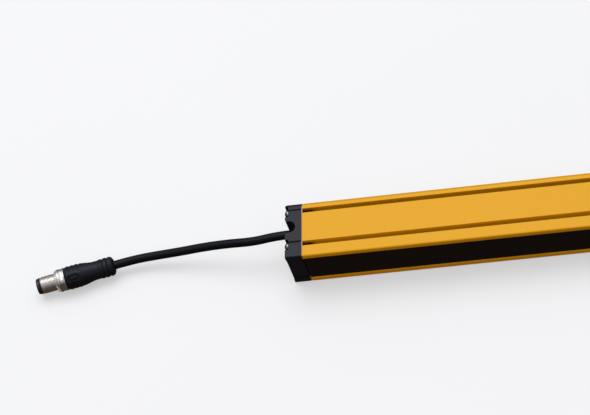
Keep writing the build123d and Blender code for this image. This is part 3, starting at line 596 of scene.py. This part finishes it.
# painted shade: the smooth floor of the thumb mark darkened, less so on its raised middle
mark_shade = grip.data.attributes.new("recess", "FLOAT", "POINT")
for v in grip.data.vertices:
    p = (v.co - PLUG_O) / MM
    t = p.dot(AX)
    d = (atan2(p.dot(UP), p.dot(SIDE)) - MARK_A + pi) % (2 * pi) - pi
    if abs(d) < 1.2:
        f = sqrt(((t - MARK_T) / 4.5) ** 2 + (GRIP_R * sin(d) / 3.2) ** 2)
        g = sqrt(((t - MARK_T) / 2.6) ** 2 + (GRIP_R * sin(d) / 1.3) ** 2)
        mark_shade.data[v.index].value = smooth((1.1 - f) / 0.14) * (0.35 + 0.65 * smooth((g - 0.9) / 0.3))


# ---------------------------------------------------------------------------
# plug: coupling nut with its toothed hexagon and rolled thread
# ---------------------------------------------------------------------------
def hexagon(flat, corner):
    def r(a):
        d = (a - radians(17.4) + pi / 6) % (pi / 3) - pi / 6
        return min(flat / cos(d), corner)

    return r


def toothed(top, root):
    def r(a):
        ph = (a * 36 / (2 * pi)) % 1.0
        k = abs(ph - 0.5) * 2                  # 0 in the middle of a slot
        w = smooth((k - 0.42) / 0.2)
        return min(top, root) * (1 - w) + top * w

    return r


def threaded(t, t0, t1, crest, rootr, pitch):
    grow = smooth((t - t0) / 0.7 + 0.3) * smooth((t1 - t) / 0.7 + 0.35)

    def r(a):
        ph = (t / pitch - a / (2 * pi)) % 1.0
        k = min(1.0, (1 - abs(ph - 0.5) * 2) * 1.45)
        return rootr + (crest - rootr) * k * grow

    return r


rows = [(35.15, 7.55), (35.25, 7.86), (35.4, 8.02), (36.3, 8.03), (36.45, 7.94), (36.52, hexagon(7.4, 7.96)),
        (38.6, hexagon(7.4, 7.96)), (38.76, hexagon(7.3, 7.74)), (38.82, 7.2), (39.02, 7.2), (39.06, 7.86), (39.18, 8.02),
        (40.05, 8.02), (40.16, toothed(7.99, 7.05)), (40.24, toothed(7.97, 6.98))]
rows += [(40.24 + 2.0 * i / 5, toothed(7.97 - 0.68 * i / 5, 6.98 - 0.08 * i / 5)) for i in range(1, 6)]
rows += [(42.36, toothed(7.1, 6.88)), (42.4, 6.8), (42.5, 6.45), (42.62, 6.1), (42.8, 5.8)]
T0, T1 = 42.8, 52.8
steps = 120
for i in range(1, steps):
    t = T0 + (T1 - T0) * i / steps
    rows.append((t, threaded(t, T0, T1, 5.99, 5.48, 1.0)))
rows += [(52.8, 5.74), (53.2, 5.36), (53.2, 4.7), (53.0, 4.6), (35.4, 4.6), (35.15, 4.7)]
nut = piece("coupling_nut_threaded", turned(rows, 288, PLUG_O, AX, SIDE, UP, closed=True), "nickel",
            body="coupling_ring", replaces=["coupling_nut"], sharp=38)

# ---------------------------------------------------------------------------
# cord's finish, on the root body, with the CAD cord hidden
# ---------------------------------------------------------------------------
cord_curve.materials.append(MAT["cord_jacket"])
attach(cord_jacket, "root")
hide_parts("pigtail_cord")

# ---------------------------------------------------------------------------
# floor and soft studio light
# ---------------------------------------------------------------------------
me = bpy.data.meshes.new("floor")
me.from_pydata([(-8, -8, -0.0002), (8, -8, -0.0002), (8, 8, -0.0002), (-8, 8, -0.0002)], [], [(0, 1, 2, 3)])
me.materials.append(surface("floor_paper", (0.5, 0.487, 0.468, 1), (0.496, 0.483, 0.464, 1), mottle=3.0, rough=(0.85, 0.95),
                            grain=900, grain_depth=0.00001, grain_strength=0.1, Specular_IOR_Level=0.0,
                            Emission_Color=(1, 1, 1, 1), Emission_Strength=0.44))
ground = bpy.data.objects.new("floor", me)
scene.collection.objects.link(ground)
# the floor shows and takes shadows, while the object is lit by the studio alone
ground.visible_diffuse = False
ground.visible_glossy = False

# studio surroundings: bright and slightly cool overhead and behind, dim and warm below and in front
world = bpy.data.worlds.new("studio")
scene.world = world
world.use_nodes = True
wt = world.node_tree
back = wt.nodes["Background"]
height = wt.nodes.new("ShaderNodeVectorMath")
height.operation = "DOT_PRODUCT"
wt.links.new(wt.nodes.new("ShaderNodeTexCoord").outputs["Generated"], height.inputs[0])
height.inputs[1].default_value = (0.0, 0.26, 0.966)
fade = wt.nodes.new("ShaderNodeMapRange")
fade.interpolation_type = "SMOOTHSTEP"
fade.inputs["From Min"].default_value = 0.0
fade.inputs["From Max"].default_value = 0.85
wt.links.new(height.outputs["Value"], fade.inputs["Value"])
tone = wt.nodes.new("ShaderNodeMix")
tone.data_type = "RGBA"
tone.inputs["A"].default_value = (0.13, 0.094, 0.07, 1)
tone.inputs["B"].default_value = (1.08, 1.18, 1.38, 1)
wt.links.new(fade.outputs["Result"], tone.inputs["Factor"])
wt.links.new(tone.outputs["Result"], back.inputs["Color"])
back.inputs["Strength"].default_value = 0.62


def softbox(name, place, target, size, power, color=(1, 1, 1)):
    data = bpy.data.lights.new(name, "AREA")
    data.shape = "RECTANGLE"
    data.size, data.size_y = size
    data.energy = power
    data.color = color
    ob = bpy.data.objects.new(name, data)
    scene.collection.objects.link(ob)
    d = Vector(target) - Vector(place)
    ob.matrix_world = Matrix.Translation(Vector(place)) @ d.to_track_quat("-Z", "Y").to_matrix().to_4x4()
    return ob


softbox("key", (-0.5, 0.9, 2.2), (-0.1, 0, 0), (2.2, 1.6), 31.0)
# low warm fill for the front faces, without a reflection of its own
fill = softbox("fill", (0.0, -2.2, 0.45), (0, 0, 0), (3.0, 0.6), 8.5, (1.0, 0.66, 0.34))
fill.visible_glossy = False
scene.view_settings.view_transform = "Standard"
scene.view_settings.look = "None"
